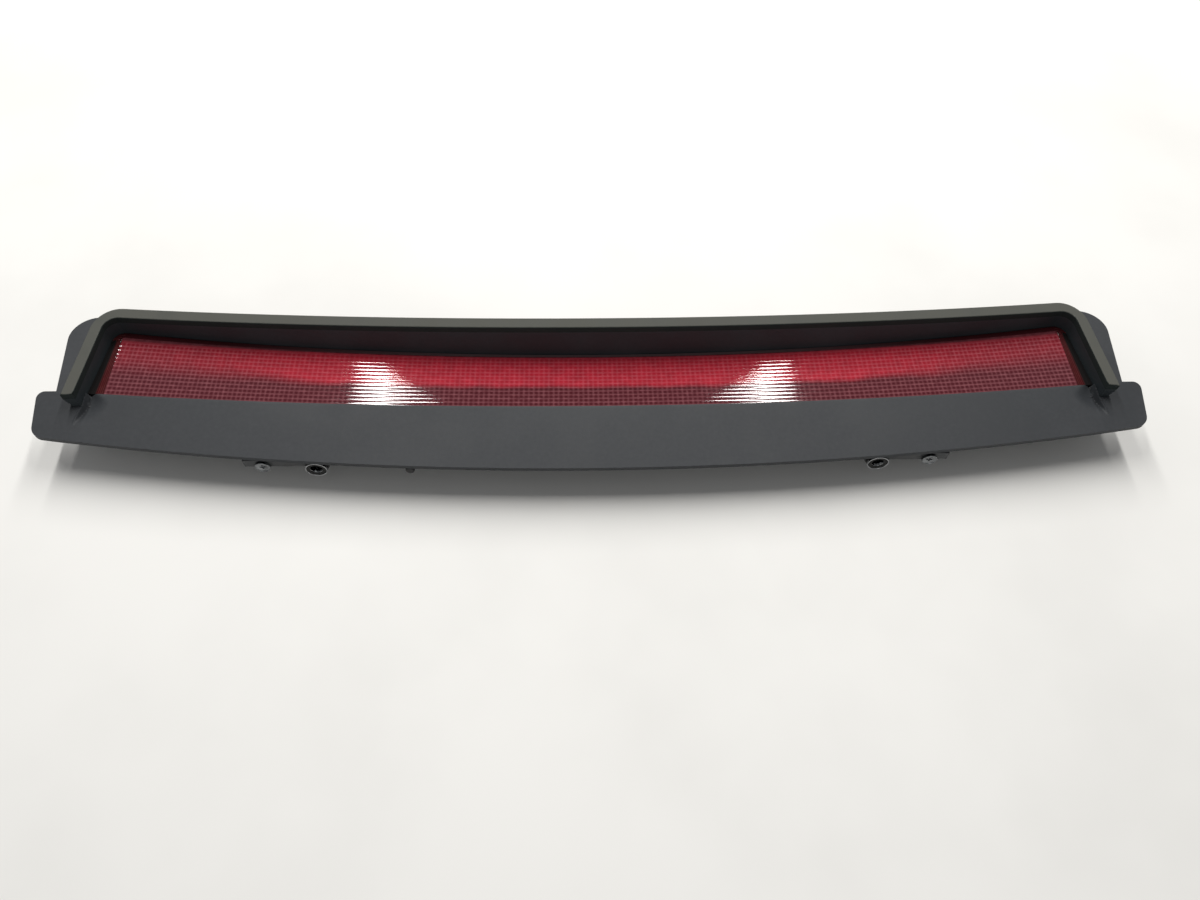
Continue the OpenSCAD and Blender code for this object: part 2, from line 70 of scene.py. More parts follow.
WALL_CY = WALL_Y + WALL_R
WINDOW_CY = WINDOW_Y + WINDOW_R
APRON_CY = APRON_Y + APRON_R
CREASE_R = WINDOW_R + 0.6
ARM = (SIDE_X, SIDE_LEAN)
CHEEK = (SIDE_X + CHEEK_W, -CHEEK_FLARE)
EAR = (EAR_X + 1.8, -0.09)


# ---------- plan geometry ----------

def side_at(y, g, side=ARM):
    """x of a side line at y, moved outward by g."""
    return side[0] + g * hypot(1, side[1]) - side[1] * (y - 14)


def meet(side, g, cy, r):
    """Where a side line, moved outward by g, meets the near part of a circle about (0, cy)."""
    m, k = side_at(0, g, side), side[1]
    a, b, c = 1 + k * k, -2 * (m * k + cy), m * m + cy * cy - r * r
    y = (-b - sqrt(b * b - 4 * a * c)) / (2 * a)
    return m - k * y, y


def arc(c, r, a0, a1, n):
    return [(c[0] + r * cos(a0 + (a1 - a0) * i / n), c[1] + r * sin(a0 + (a1 - a0) * i / n))
            for i in range(n + 1)]


def bow(cy, r, x0, x1, n):
    """n + 1 points on the near part of a big circle about (0, cy), from x0 to x1."""
    xs = [x0 + (x1 - x0) * i / n for i in range(n + 1)]
    return [(x, cy - sqrt(r * r - x * x)) for x in xs]


def line(p, q, n):
    return [(p[0] + (q[0] - p[0]) * i / n, p[1] + (q[1] - p[1]) * i / n) for i in range(n + 1)]


def chain(*parts):
    """Joins point lists whose ends coincide, without repeating the shared points."""
    out = list(parts[0])
    for part in parts[1:]:
        out += part[1:]
    return out


def far_half(g_side, g_far, r, side, corner_n, far_n):
    """Round corner, then the long wall to the middle."""
    big = WALL_R - g_far
    c = meet(side, g_side - r, WALL_CY, big + r)
    corner = arc(c, r, atan(side[1]), atan2(WALL_CY - c[1], -c[0]), corner_n)
    return chain(corner, bow(WALL_CY, big, corner[-1][0], 0, far_n))


def mirrored(points):
    return [(-x, y) for x, y in reversed(points)]


def smooth(x, a, b):
    t = min(1.0, max(0.0, (x - a) / (b - a)))
    return t * t * (3 - 2 * t)


def glass_z(x, y, drop=0.0):
    """Height of the rear glass's inner face, lowered by drop."""
    r = GLASS_R - drop
    return RIM_Z + (sqrt(r * r - x * x) - GLASS_R) / cos(GLASS_TILT) + (y - WALL_Y) * tan(GLASS_TILT)


def cover_z(x, y):
    return COVER_Z - max(0.0, hypot(x, y - WINDOW_CY) - CREASE_R) * tan(APRON_SLOPE)


# ---------- meshes ----------

def new_object(name, verts, faces, material, slot, cells=None):
    """cells gives each vertex's cell across, cell along and level, then its place in the end zone."""
    mesh = bpy.data.meshes.new(name)
    mesh.from_pydata([(x * MM, y * MM, z * MM) for x, y, z in verts], [], faces)
    if cells:
        mesh.attributes.new("cells", "FLOAT_VECTOR", "POINT")
        mesh.attributes.new("ends", "FLOAT", "POINT")
        mesh.attributes["cells"].data.foreach_set("vector", [c for value in cells for c in value[:3]])
        mesh.attributes["ends"].data.foreach_set("value", [value[3] for value in cells])
    return dress(name, mesh, material, slot)


def dress(name, mesh, material, slot):
    b = bmesh.new()
    b.from_mesh(mesh)
    bmesh.ops.recalc_face_normals(b, faces=b.faces)
    b.to_mesh(mesh)
    b.free()
    mesh.materials.clear()
    mesh.materials.append(material)
    obj = bpy.data.objects.new(name, mesh)
    bpy.context.collection.objects.link(obj)
    return obj


def shade(obj, angle=32.0):
    """Smooth shading with edges sharper than angle kept."""
    obj.data.shade_smooth()
    obj.data.set_sharp_from_angle(angle=radians(angle))


def full_width(p):
    return 1.0


def round_edges(obj, width, segments=3, weight=full_width, angle=28.0):
    """Rounds the sharp edges. weight gives each edge's share of the width from its middle, in mm."""
    mesh = obj.data
    mesh.shade_smooth()
    b = bmesh.new()
    b.from_mesh(mesh)
    layers = b.edges.layers.float
    layer = layers.get("bevel_weight_edge") or layers.new("bevel_weight_edge")
    for e in b.edges:
        if len(e.link_faces) == 2 and e.calc_face_angle(0) > radians(angle):
            e[layer] = weight((e.verts[0].co + e.verts[1].co) / 2 / MM)
            e.smooth = e[layer] > 0
    b.to_mesh(mesh)
    b.free()
    m = obj.modifiers.new("rounding", "BEVEL")
    m.width = width * MM
    m.segments = segments
    m.limit_method = "WEIGHT"
    m.miter_outer = "MITER_ARC"
    m.harden_normals = True
    m.use_clamp_overlap = True


def loft(rings, closed):
    """Vertices and faces between rings of equal length. closed joins the last ring to the first."""
    n, m = len(rings[0]), len(rings)
    verts = [v for ring in rings for v in ring]
    faces = []
    for k in range(m if closed else m - 1):
        a, c = k * n, (k + 1) % m * n
        for i in range(n - 1):
            faces.append((a + i, a + i + 1, c + i + 1, c + i))
    return verts, faces


# ---------- materials ----------

END_FLUTES = 4      # slanted flutes at each end of the lens
END_SHADED = 0.5      # share of each end painted as shade, black, beside the arm


class Tree:
    """Small helper that builds a node tree."""

    def __init__(self, name):
        self.material = bpy.data.materials.new(name)
        self.material.use_nodes = True
        self.nodes = self.material.node_tree.nodes
        self.links = self.material.node_tree.links
        self.shader = self.nodes["Principled BSDF"]
        self.coords = self.nodes.new("ShaderNodeTexCoord").outputs["Object"]

    def put(self, socket, value):
        if isinstance(value, bpy.types.NodeSocket):
            self.links.new(value, socket)
        else:
            socket.default_value = value

    def node(self, kind, out=0, settings=None, **inputs):
        n = self.nodes.new("ShaderNode" + kind)
        for key, value in (settings or {}).items():
            setattr(n, key, value)
        for key, value in inputs.items():
            self.put(n.inputs[key.replace("_", " ")], value)
        return n.outputs[out]

    def math(self, operation, a, b=0.0, c=0.0):
        n = self.nodes.new("ShaderNodeMath")
        n.operation = operation
        for socket, value in zip(n.inputs, (a, b, c)):
            self.put(socket, value)
        return n.outputs[0]

    def noise(self, size, detail=3.0, roughness=0.55, vector=None):
        """Noise whose features are about size millimetres across."""
        return self.node("TexNoise", 0, Vector=vector or self.coords, Scale=1 / (size * MM),
                         Detail=detail, Roughness=roughness)

    def ramp(self, value, a, b, lo=0.0, hi=1.0):
        return self.node("MapRange", 0, {"interpolation_type": "SMOOTHSTEP"}, Value=value,
                         From_Min=a, From_Max=b, To_Min=lo, To_Max=hi)

    def mix(self, factor, a, b):
        """A mix of two colours; each is a socket or a tuple of red, green and blue."""
        n = self.nodes.new("ShaderNodeMix")
        n.data_type = "RGBA"
        for socket, value in zip((n.inputs[0], n.inputs[6], n.inputs[7]), (factor, a, b)):
            self.put(socket, (*value, 1.0) if isinstance(value, tuple) else value)
        return n.outputs[2]

    def bump(self, height, distance):
        return self.node("Bump", 0, Height=height, Distance=distance * MM, Strength=1.0)

    def done(self, **sockets):
        for key, value in sockets.items():
            self.put(self.shader.inputs[key.replace("_", " ")], value)
        return self.material


def grained_plastic(name, colour, paler, grain=0.5, depth=0.03, rough=(0.42, 0.6), specular=0.5):
    """Moulded plastic: fine grain in the bump, cloudy roughness and a little dust in the colour."""
    t = Tree(name)
    cloud = t.noise(38, 4)
    speck = t.noise(2.2, 2)
    tone = t.math("MULTIPLY_ADD", cloud, 0.55, t.math("MULTIPLY", speck, 0.2))
    cells = t.node("TexVoronoi", 0, {"feature": "SMOOTH_F1"}, Vector=t.coords, Scale=1 / (grain * MM),
                   Smoothness=0.6)
    fine = t.noise(grain * 0.45, 2)
    height = t.math("MULTIPLY_ADD", fine, 0.5, cells)
    return t.done(
        Base_Color=t.mix(t.ramp(tone, 0.25, 0.6), colour, paler),
        Roughness=t.ramp(cloud, 0.3, 0.7, *rough),
        Normal=t.bump(height, depth),
        Specular_IOR_Level=specular,
    )


def foam(name, colour, paler):
    """Closed-cell foam with a skin: small pores, and a paler colour on faces that turn up."""
    t = Tree(name)
    pores = t.node("TexVoronoi", 0, Vector=t.coords, Scale=1 / (0.7 * MM))
    cloud = t.noise(22, 4)
    up = t.node("SeparateXYZ", 2, Vector=t.node("NewGeometry", 1))
    # paler colour on faces that turn up, in patches
    upward_paler = t.math("MULTIPLY", t.ramp(up, 0.5, 0.95), t.ramp(cloud, 0.15, 0.6, 0.75, 1.0))
    return t.done(
        Base_Color=t.mix(upward_paler, colour, paler),
        Roughness=t.ramp(cloud, 0.3, 0.7, 0.72, 0.88),
        Normal=t.bump(t.math("ADD", pores, t.noise(0.5, 3)), 0.05),
        Specular_IOR_Level=0.3,
    )


def metal(name, colour, rough=(0.2, 0.38), streak=(1, 1, 1)):
    """Plated or drawn metal with faint streaks and dull spots."""
    t = Tree(name)
    stretched = t.node("Mapping", 0, Vector=t.coords, Scale=streak)
    cloud = t.noise(5, 4)
    fine = t.noise(0.35, 3, vector=stretched)
    dull = tuple(c * 0.72 for c in colour)
    return t.done(
        Base_Color=t.mix(t.ramp(cloud, 0.35, 0.75), colour, dull),
        Metallic=1.0,
        Roughness=t.ramp(t.math("ADD", cloud, fine), 0.7, 1.3, *rough),
        Normal=t.bump(fine, 0.006),
    )


def bulb_glass(name):
    t = Tree(name)
    cloud = t.noise(3, 3)
    return t.done(
        Base_Color=t.mix(cloud, (0.95, 0.97, 0.97), (0.86, 0.88, 0.87)),
        Roughness=t.ramp(cloud, 0.3, 0.8, 0.02, 0.09),
        Transmission_Weight=0.85,
        IOR=1.5,
    )


def lens_red(name):
    """Red acrylic. The mesh's cells attribute holds the cell across, the cell along and the level.

    The level runs from 0 at the near edge of the cells to 1 at their far edge, and is negative
    around them. The ends attribute runs from 0 at a side of the lens to 1 where the cells begin."""
    t = Tree(name)
    cell = t.node("Attribute", 1, {"attribute_name": "cells"})
    ends = t.node("Attribute", 2, {"attribute_name": "ends"})
    across = t.node("SeparateXYZ", 0, Vector=cell)
    rows = t.node("SeparateXYZ", 1, Vector=cell)
    level = t.node("SeparateXYZ", 2, Vector=cell)
    x = t.math("ABSOLUTE", t.node("SeparateXYZ", 0, Vector=t.coords))

    def lattice(value, start):
        """1 on the lines between the cells, 0 in the middle of a cell."""
        to_edge = t.math("ABSOLUTE", t.math("SUBTRACT", t.math("FRACT", value), 0.5))
        return t.ramp(to_edge, start, 0.5)

    across_line, row_line = lattice(across, 0.12), lattice(rows, 0.16)
    # painted light: the glow of the lit reflector's bowls seen through the far part is painted into the
    # colour, with painted shade towards the ends
    dull = t.ramp(x, 0.120, 0.262)
    patch = t.noise(24, 3)
    split = t.math("MULTIPLY_ADD", dull, 0.12, t.math("MULTIPLY_ADD", patch, 0.16, 0.30))
    above = t.math("DIVIDE", t.math("SUBTRACT", level, split), t.math("MULTIPLY_ADD", dull, 3.0, 1.0))
    painted_glow = t.ramp(above, -0.05, 0.09)
    painted_glow = t.math("MULTIPLY", painted_glow, t.math("SUBTRACT", 1.0, t.math("MULTIPLY", dull, 0.62)))
    cloud = t.noise(7, 4)
    painted_glow = t.math("MULTIPLY", painted_glow, t.ramp(cloud, 0.25, 0.75, 0.72, 1.0))
    painted_glint_share = t.ramp(t.noise(3.1, 2), 0.3, 0.7, 0.45, 1.0)
    # painted light: deep red where there is no painted glow, bright red under it
    red = t.mix(painted_glow, (0.066, 0.008, 0.013), (0.42, 0.018, 0.034))
    # painted highlights: lighter lines between the cells, brighter under the painted glow
    light = t.mix(painted_glow, (0.250, 0.085, 0.098), (0.55, 0.085, 0.115))
    red = t.mix(t.math("MULTIPLY", row_line, t.math("MULTIPLY", painted_glint_share, 0.62)), red, light)
    red = t.mix(t.math("MULTIPLY", across_line, t.math("MULTIPLY", painted_glint_share, 0.42)), red, light)

    # smooth strip along the wall: a painted greyish sheen in the middle, deep red at the ends
    strip = t.mix(t.ramp(x, 0.060, 0.215), (0.100, 0.066, 0.070), (0.040, 0.006, 0.008))
    # slanted flutes beside the cells with painted highlights on their lines; painted shade of the arm's
    # wall, black, towards the sides
    flutes = lattice(t.math("MULTIPLY", ends, END_FLUTES / (1 - END_SHADED)), 0.15)
    band = t.mix(t.math("MULTIPLY", flutes, t.math("MULTIPLY", painted_glint_share, 0.55)), (0.042, 0.005, 0.006),
                 (0.130, 0.036, 0.036))
    band = t.mix(t.ramp(ends, END_SHADED - 0.1, END_SHADED + 0.12), (0.006, 0.005, 0.005), band)
    border = t.mix(t.ramp(ends, 0.985, 0.999), band, strip)
    return t.done(
        Base_Color=t.mix(t.ramp(level, -0.02, 0.0), border, red),
        Roughness=t.ramp(cloud, 0.3, 0.7, 0.045, 0.065),
        Normal=t.bump(t.noise(4.0, 2), 0.0002),
        IOR=1.49,
        Specular_IOR_Level=0.42,
    )


MATERIALS = {
    "cover_plastic": grained_plastic(
        "cover_plastic", (0.027, 0.030, 0.034), (0.041, 0.044, 0.049), 0.45, 0.02, (0.52, 0.64), 0.32),
    "shield_plastic": grained_plastic(
        "shield_plastic", (0.022, 0.029, 0.033), (0.033, 0.041, 0.046), 0.6, 0.03, (0.5, 0.66), 0.4),
    "housing_plastic": grained_plastic(
        "housing_plastic", (0.020, 0.022, 0.025), (0.034, 0.036, 0.039), 0.9, 0.03),
    "black_plastic": grained_plastic(
        "black_plastic", (0.012, 0.012, 0.013), (0.023, 0.023, 0.023), 0.6, 0.02),
    "bracket_plastic": grained_plastic(
        "bracket_plastic", (0.040, 0.043, 0.046), (0.060, 0.062, 0.064), 0.7, 0.02),
    "grommet_rubber": grained_plastic(
        "grommet_rubber", (0.012, 0.012, 0.012), (0.024, 0.024, 0.023), 0.8, 0.02, (0.6, 0.8), 0.3),
    "seal_foam": foam("seal_foam", (0.014, 0.021, 0.020), (0.080, 0.081, 0.071)),
    "lens_red": lens_red("lens_red"),
    "bulb_glass": bulb_glass("bulb_glass"),
    "reflector_metallised": metal("reflector_metallised", (0.82, 0.83, 0.85), (0.06, 0.16)),
    "contact_brass": metal("contact_brass", (0.72, 0.52, 0.22)),
    "tinned_strip": metal("tinned_strip", (0.60, 0.59, 0.54), (0.3, 0.5), (0.15, 1, 1)),
    "zinc_screw": metal("zinc_screw", (0.26, 0.27, 0.28), (0.12, 0.24)),
    "steel_sleeve": metal("steel_sleeve", (0.50, 0.51, 0.52), (0.05, 0.12)),
}


# ---------- light shield and seal ----------

def shield_path(g):
    """Points of the U, arm end to arm end, at a distance g outside the shield's inner face."""
    far = far_half(g, g, CORNER_R + g, ARM, 10, 60)
    arm = line((side_at(ARM_END, g), ARM_END), far[0], 16)
    half = chain(arm, far)
    return half + mirrored(half[:-1])


def along_u(name, profile, slot):
    """A closed cross-section of (g, height function) swept along the U, with flat ends."""
    rings = [[(x, y, z(x, y)) for x, y in shield_path(g)] for g, z in profile]
    verts, faces = loft(rings, True)
    n, m = len(rings[0]), len(rings)
    faces += [tuple(k * n for k in range(m)), tuple(k * n + n - 1 for k in range(m))]
    return new_object(name, verts, faces, MATERIALS[slot], slot)


def level(z):
    return lambda x, y: z


def under_seal(drop):
    return lambda x, y: glass_z(x, y, SEAL_T) - drop


def up_wall(share):
    """Height at a share of the way from the cover to the seal."""
    return lambda x, y: COVER_Z + (glass_z(x, y, SEAL_T) - COVER_Z) * share


def make_shield():
    foot_w, foot_t = 6.2, 1.2
    profile = [
        (0.0, level(FLANGE_TOP)),
        *((0.0, up_wall(share)) for share in (0.0, 0.4, 0.75)),
        (0.0, under_seal(0.0)),
        (RIM_W, under_seal(0.0)),
        (RIM_W - 0.1, under_seal(1.4)),
        (SHIELD_W, level(COVER_Z + 0.2)),
        (SHIELD_W, level(FLANGE_TOP + foot_t)),
        (foot_w, level(FLANGE_TOP + foot_t)),
        (foot_w, level(FLANGE_TOP)),
    ]
    shield = along_u("shield_moulding", profile, "shield_plastic")

    def weight(p):
        """Only the edges away from the seal are rounded."""
        return 0.0 if abs(p.z - glass_z(p.x, p.y, SEAL_T)) < 0.3 else 1.0

    round_edges(shield, 0.35, 2, weight)
    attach(shield, BODY)
    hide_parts("light_shield")


def make_seal():
    top = [(g, glass_z) for g in (0.0, 2.2, 4.4, RIM_W)]
    profile = [(0.0, under_seal(0.0)), *top, (RIM_W, under_seal(0.0))]
    seal = along_u("seal_strip", profile, "seal_foam")

    def weight(p):
        """Only the edges at the top are rounded."""
        return 1.0 if abs(p.z - glass_z(p.x, p.y)) < 0.3 else 0.0

    round_edges(seal, 0.7, 3, weight)
    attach(seal, BODY)
    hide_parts("glass_seal")


# ---------- cover ----------

COVER_GAP = 0.2
RIDGE_END_Y = -22.0
DISH_DEPTH = 3.0


def cover_columns():
    """Matching points on the cover's inner and outer edge, right half, from mid front to mid back.

    Also the index of the column that runs along the ridge beside the arm."""
    low_r, top_r = 7.0, 4.0
    slot_g = SHIELD_W + COVER_GAP
    front = APRON_R - low_r
    low = meet(EAR, -low_r, APRON_CY, front)
    low_arc = arc(low, low_r, atan2(low[1] - APRON_CY, low[0]), atan(EAR[1]), 10)
    top_arc = arc((EAR_X - top_r, EAR_TOP - top_r), top_r, atan(EAR[1]), pi / 2, 8)
    cheek_near = (side_at(EAR_TOP, 0, CHEEK), EAR_TOP)
    cheek_far = far_half(0, FLANGE_W, CHEEK_R, CHEEK, 14, 60)

    window_end = meet(ARM, 0, WINDOW_CY, WINDOW_R)
    arm_near_in = (side_at(ARM_END - COVER_GAP, 0), ARM_END - COVER_GAP)
    arm_near_out = (side_at(ARM_END - COVER_GAP, slot_g), ARM_END - COVER_GAP)
    slot_far = far_half(slot_g, slot_g, CORNER_R + slot_g, ARM, 14, 60)

    def out_line(y):
        return (side_at(y, slot_g), y)

    # the ridge runs from the arm's inner face towards the ear's front
    pairs = [
        (bow(WINDOW_CY, WINDOW_R, 0, 240, 48), bow(APRON_CY, APRON_R, 0, 238, 48)),
        (bow(WINDOW_CY, WINDOW_R, 240, window_end[0], 30), bow(APRON_CY, APRON_R, 238, 266, 30)),
        (line(window_end, arm_near_in, 26), bow(APRON_CY, APRON_R, 266, 277, 26)),
        (line(arm_near_in, arm_near_out, 14), bow(APRON_CY, APRON_R, 277, low_arc[0][0], 14)),
        (line(arm_near_out, out_line(-9), 10), low_arc),
        (line(out_line(-9), out_line(-6), 6), line(low_arc[-1], top_arc[0], 6)),
        (line(out_line(-6), out_line(-4), 8), top_arc),
        (line(out_line(-4), out_line(EAR_TOP), 3), line(top_arc[-1], cheek_near, 3)),
        (line(out_line(EAR_TOP), slot_far[0], 16), line(cheek_near, cheek_far[0], 16)),
        (slot_far, cheek_far),
    ]
    inner = chain(*[p[0] for p in pairs])
    outer = chain(*[p[1] for p in pairs])
    return inner, outer, sum(len(p[0]) - 1 for p in pairs[:3])


def dish(d, y):
    """How far the apron dips on the middle's side of the ridge, at a distance d from it."""
    width = 4.0 + 10.0 * smooth(y, 0.0, -10.0) - 5.0 * smooth(y, -12.0, RIDGE_END_Y)
    depth = DISH_DEPTH * (1 - smooth(y, -10.0, RIDGE_END_Y))
    return depth * smooth(d, 0.0, 1.3) * (1 - smooth(d, 0.8, width)) ** 1.3


def crest(d, y):
    """Height of the thin ridge itself."""
    return 0.45 * exp(-(d / 0.55) ** 2) * (1 - smooth(y, -15.0, RIDGE_END_Y))


def make_cover():
    inner, outer, ridge = cover_columns()
    ridge_a, ridge_b = inner[ridge], outer[ridge]

    def ridge_x(y):
        if y > ridge_a[1]:
            return side_at(y, 0) - 0.4
        share = (ridge_a[1] - y) / (ridge_a[1] - ridge_b[1])
        return ridge_a[0] - 0.4 + (ridge_b[0] - ridge_a[0]) * share

    def height(x, y):
        d = ridge_x(y) - x
        beside_ear = y < ARM_END + 0.5 or d > -0.5
        return cover_z(x, y) - dish(d, y) + (crest(d, y) if beside_ear else 0.0)

    rows = 26
    fractions = [(k / rows) ** 1.3 for k in range(rows + 1)]
    n = len(inner)
    normals = []
    for i in range(n):
        a, c = outer[max(i - 1, 0)], outer[min(i + 1, n - 1)]
        d = hypot(c[0] - a[0], c[1] - a[1])
        normals.append(((c[1] - a[1]) / d, -(c[0] - a[0]) / d))
    lip_t = 2.0

    def point(i, f, drop, lip=0.0):
        (px, py), (qx, qy), (nx, ny) = inner[i], outer[i], normals[i]
        qx, qy = qx - nx * lip, qy - ny * lip
        x, y = px + (qx - px) * f, py + (qy - py) * f
        return (x, y, height(x, y) - drop)

    def ring(f, drop, lip=0.0):
        half = [point(i, f, drop, lip) for i in range(n)]
        return half + [(-x, y, z) for x, y, z in reversed(half[1:-1])] + [half[0]]

    rings = [ring(f, 0.0) for f in fractions]
    rings += [ring(1.0, LIP_H), ring(1.0, LIP_H, lip_t)]
    rings += [ring(f, COVER_T, lip_t) for f in reversed(fractions)]
    verts, faces = loft(rings, True)
    cover = new_object("cover_moulding", verts, faces, MATERIALS["cover_plastic"], "cover_plastic")
    weld(cover, 0.002)

    def weight(p):
        """Full rounding along the outer edge of the upper face, a fifth of it elsewhere."""
        outside = abs(p.z - cover_z(p.x, p.y)) < 0.4
        at_front = hypot(p.x, p.y - APRON_CY) > APRON_R - 1
        at_side = abs(p.x) > side_at(p.y, 12)
        at_back = p.y > 32 and p.y > WALL_CY - sqrt((WALL_R - 7.5) ** 2 - p.x ** 2)
        return 1.0 if outside and (at_front or at_side or at_back) else 0.2

    round_edges(cover, 1.9, 4, weight)
    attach(cover, BODY)
    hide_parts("cover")
    make_cover_posts()


POSTS = ((60, -33, 9), (205, -21.5, 9), (281.5, 22, 19))      # x, y and the screw's seat
POST_SIDES = 40


def make_cover_posts():
    """Screw posts under the cover: hollow, drafted, with a fillet where they meet the shell."""
    turns = [2 * pi * i / POST_SIDES for i in range(POST_SIDES + 1)]
    for k, (px, py, seat) in enumerate(POSTS):
        top = cover_z(px, py) - COVER_T + 0.4
        bottom = seat + 2.0
        profile = [(1.3, top), (1.3, bottom + 0.4), (1.7, bottom), (3.2, bottom), (3.5, bottom + 0.3),
                   (3.6, top - 1.2), (3.9, top - 0.6), (4.8, top)]
        for side, hand in ((1, "right"), (-1, "left")):
            rings = [[(side * px + r * cos(a), py + r * sin(a), z) for a in turns] for r, z in profile]
            verts, faces = loft(rings, True)
            post = new_object(f"cover_post_{k + 1}_{hand}", verts, faces,
                              MATERIALS["cover_plastic"], "cover_plastic")
            weld(post)
            shade(post)
            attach(post, BODY)
            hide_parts("cover")


def weld(obj, distance=0.001):
    """Joins vertices closer than distance, in mm."""
    b = bmesh.new()
    b.from_mesh(obj.data)
    bmesh.ops.remove_doubles(b, verts=b.verts, dist=distance * MM)
    bmesh.ops.recalc_face_normals(b, faces=b.faces)
    b.to_mesh(obj.data)
    b.free()


# ---------- lens ----------

LENS_GAP = 0.4            # between the lens and the cover or shield
LENS_T = 2.4
MID_PITCH, END_PITCH = 2.66, 2.47
MID_HALF = BULB_PITCH * BULBS / 2
GRID_HALF = 262.0         # the cells end here; slanted flutes follow
ROWS, ROW_STEPS = 13, 6
FLUTE_STEPS = 5
COLUMN_STEPS = 4
ROW_BULGE, FLUTE_BULGE, COLUMN_BULGE = 0.17, 0.05, 0.35
WIDE_STEP = 6.0           # spacing of the outer face's vertices along the lamp
GRID_FAR_R = 2394.0       # radius of the cells' far edge
LENS_FLANGE = 5.0         # how far the flange reaches out
LENS_FLANGE_T = 1.8
CELL_OFFSET = 200.0       # keeps the cell numbers positive
CORNER_STEPS = 12


def cell_across(x):
    """Cell number across the lens; the cells are a little narrower outside the lit part."""
    a = abs(x)
    cells = a / MID_PITCH if a <= MID_HALF else MID_HALF / MID_PITCH + (a - MID_HALF) / END_PITCH
    return cells if x >= 0 else -cells


def x_of_cell(u):
    a, mid = abs(u), MID_HALF / MID_PITCH
    x = a * MID_PITCH if a <= mid else MID_HALF + (a - mid) * END_PITCH
    return x if u >= 0 else -x


def grid_near(x):
    return WINDOW_CY - sqrt(WINDOW_R ** 2 - x * x) + 0.9


def grid_far(x):
    """Far edge of the cells, a little less bowed than the long wall."""
    return WALL_Y - 2.8 + GRID_FAR_R - sqrt(GRID_FAR_R ** 2 - x * x)


def scallop(value, height):
    """Rounded flutes, one per whole number of value."""
    f = value - int(value)
    return -height * (2 * f - 1) ** 2


def even_steps(half, step):
    """Evenly spaced values from -half to half, with 0 among them."""
    n = 2 * round(half / step)
    return [-half + 2 * half * i / n for i in range(n + 1)]


END_STEPS = END_FLUTES * FLUTE_STEPS + 4
GRID_XS = even_steps(GRID_HALF, WIDE_STEP)
SIDE_ROWS = ROWS * ROW_STEPS


def half_outline(g):
    """Right half of an outline moved out by g: near edge from the middle, side, corner and far wall."""
    near_r = WINDOW_R + g
    end_x, end_y = meet(ARM, g, WINDOW_CY, near_r)
    xs = [x for x in GRID_XS if x >= 0]
    near = [(x, WINDOW_CY - sqrt(near_r ** 2 - x * x)) for x in xs]
    near += bow(WINDOW_CY, near_r, GRID_HALF, end_x, END_STEPS)[1:]
    corner = far_half(g, g, CORNER_R + g, ARM, CORNER_STEPS, 4)[:CORNER_STEPS + 1]
    side = line((end_x, end_y), corner[0], SIDE_ROWS)
    far = chain(corner, bow(WALL_CY, WALL_R - g, corner[-1][0], GRID_HALF, END_STEPS - CORNER_STEPS))
    far += bow(WALL_CY, WALL_R - g, GRID_HALF, 0, len(xs) - 1)[1:]
    return near, side, far


def outline_loop(g):
    near, side, far = half_outline(g)
    right = near[:-1] + side[:-1] + far
    return right + [(-x, y) for x, y in reversed(right[1:-1])]


